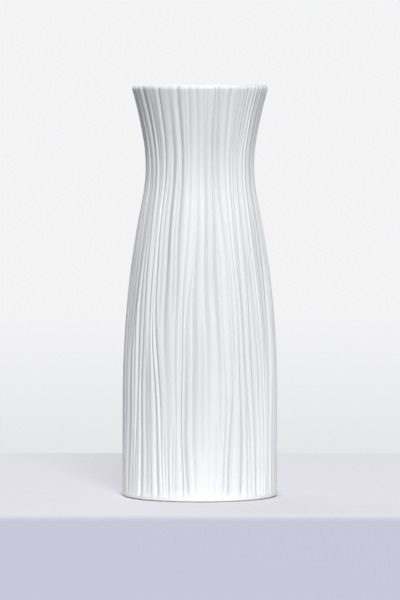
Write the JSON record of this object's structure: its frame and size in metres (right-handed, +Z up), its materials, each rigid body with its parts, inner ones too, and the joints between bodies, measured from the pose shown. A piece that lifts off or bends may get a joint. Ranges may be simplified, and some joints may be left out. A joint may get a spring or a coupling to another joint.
{
  "type": "vase",
  "caption": "Tall white porcelain vase with a straight body, long shoulder, drawn-in neck and flared mouth, covered outside with wavy upright ribs, for holding cut flowers.",
  "frame": {"origin": "centre of the flat standing face under the foot ring", "axes": "+Z up along the axis of the vase; the ribs wander all round, so +X and +Y have no face of their own; the pictured side faces -Y"},
  "size_m": [0.1022, 0.1022, 0.27],
  "materials": {
    "porcelain": "satin white porcelain, fine grained",
    "bare_foot": "unglazed, ground flat",
    "glaze": "clear gloss glaze over white porcelain"
  },
  "bodies": {
    "root": {"ribbed_wall": "porcelain", "foot_ring": "bare_foot", "floor_disc": "glaze"}
  },
  "joints": []
}
